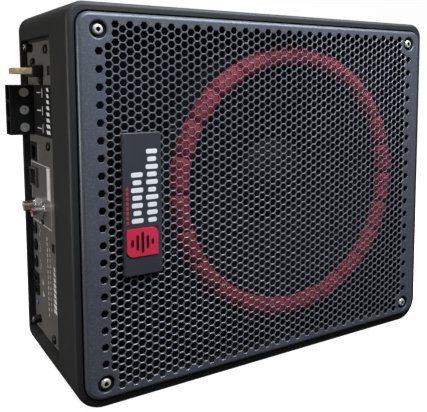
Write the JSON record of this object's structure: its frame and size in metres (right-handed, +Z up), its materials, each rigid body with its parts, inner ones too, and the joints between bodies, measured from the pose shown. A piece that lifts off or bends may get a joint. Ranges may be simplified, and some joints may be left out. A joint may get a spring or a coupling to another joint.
{
  "type": "powered car subwoofer",
  "caption": "Compact powered car subwoofer: black box, hex-perforated steel grille over a woofer with a red surround, and an amplifier panel set into one side.",
  "frame": {"origin": "centre of the bottom face that the box rests on", "axes": "+Z up, the grille faces -Y, the amplifier panel faces -X"},
  "size_m": [0.3496, 0.1407, 0.282],
  "materials": {
    "enclosure_black": "fine textured",
    "cover_black": "satin",
    "seal_rubber": "matte",
    "screw_black": "black oxide",
    "screw_bright": "plated",
    "brass_insert": "machined",
    "grille_coat": "powder coated",
    "badge_grey": "satin",
    "emblem_red": "gloss",
    "surround_red": "matte",
    "cone_grey": "satin",
    "basket_steel": "satin",
    "spider_cloth": "woven",
    "coil_former": "smooth",
    "coil_copper": "enamelled wire",
    "motor_steel": "zinc plated",
    "ferrite": "ground",
    "tab_plastic": "satin",
    "panel_metal": "satin metallic",
    "connector_black": "satin",
    "connector_grey": "satin",
    "jack_chrome": "polished",
    "jack_white": "gloss",
    "jack_red": "gloss",
    "knob_black": "satin",
    "lever_black": "satin",
    "light_blue": "translucent",
    "fuse_tan": "translucent",
    "blade_zinc": "plated",
    "board_green": "solder mask",
    "sink_aluminium": "extruded",
    "winding_copper": "enamelled wire",
    "capacitor_sleeve": "gloss",
    "cable_sheath": "smooth"
  },
  "bodies": {
    "housing": {"enclosure_shell": "enclosure_black", "rear_cover": "cover_black", "rear_gasket": "seal_rubber", "rear_cover_screws": "screw_black", "mount_inserts": "brass_insert", "grille": "grille_coat", "grille_screws": "screw_bright", "badge_plate": "badge_grey", "badge_emblem": "emblem_red", "badge_push_nuts": "screw_bright", "basket": "basket_steel", "woofer_gasket": "seal_rubber", "woofer_trim_ring": "seal_rubber", "woofer_screws": "screw_black", "surround": "surround_red", "spider": "spider_cloth", "top_plate": "motor_steel", "magnet": "ferrite", "pole_piece": "motor_steel", "terminal_tab": "tab_plastic", "terminal_lugs": "brass_insert", "tinsel_leads": "winding_copper", "control_panel": "panel_metal", "panel_standoffs": "connector_black", "panel_screws": "screw_black", "standoff_screws": "screw_bright", "jack_barrels": "jack_chrome", "jack_insulator_white": "jack_white", "jack_insulator_red": "jack_red", "jack_body": "connector_black", "small_screws": "screw_black", "potentiometers": "tab_plastic", "switch_bodies": "connector_black", "status_light": "light_blue", "remote_port": "connector_black", "speaker_input": "connector_grey", "speaker_input_pins": "brass_insert", "terminal_block": "connector_black", "terminal_clamps": "brass_insert", "terminal_screws": "screw_bright", "fuse_holder": "connector_black", "circuit_board": "board_green", "board_posts": "brass_insert", "board_screws": "screw_bright", "heat_sink": "sink_aluminium", "power_transistors": "connector_black", "transformer": "winding_copper", "capacitors": "capacitor_sleeve", "speaker_cable": "cable_sheath"},
    "cone_assembly": {"cone": "cone_grey", "dust_cap": "cone_grey", "voice_coil_former": "coil_former", "voice_coil": "coil_copper"},
    "level_knob": {"knob_level": "knob_black"},
    "crossover_knob": {"knob_crossover": "knob_black"},
    "bass_knob": {"knob_bass": "knob_black"},
    "phase_lever": {"switch_lever_phase": "lever_black"},
    "power_lever": {"switch_lever_power": "lever_black"},
    "fuse": {"blade_fuse": "fuse_tan", "fuse_blades": "blade_zinc"}
  },
  "joints": [
    {"name": "cone_stroke", "type": "slide", "parent": "housing", "child": "cone_assembly", "axis": [0, -1, 0], "range_m": [-0.006, 0.006], "stiffness_N_per_m": 3500, "deforming": ["surround", "spider", "tinsel_leads"]},
    {"name": "level_turn", "type": "hinge", "parent": "housing", "child": "level_knob", "pos_m": [-0.1605, 0.051, 0.108], "axis": [-1, 0, 0], "range_deg": [-140, 140]},
    {"name": "crossover_turn", "type": "hinge", "parent": "housing", "child": "crossover_knob", "pos_m": [-0.1605, 0.051, 0.0938], "axis": [-1, 0, 0], "range_deg": [-140, 140]},
    {"name": "bass_turn", "type": "hinge", "parent": "housing", "child": "bass_knob", "pos_m": [-0.1605, 0.051, 0.0796], "axis": [-1, 0, 0], "range_deg": [-140, 140]},
    {"name": "phase_slide", "type": "slide", "parent": "housing", "child": "phase_lever", "axis": [0, 1, 0], "range_m": [0, 0.004]},
    {"name": "power_slide", "type": "slide", "parent": "housing", "child": "power_lever", "axis": [0, 1, 0], "range_m": [0, 0.004]},
    {"name": "fuse_pull", "type": "slide", "parent": "housing", "child": "fuse", "axis": [-1, 0, 0], "range_m": [0, 0.018]}
  ]
}
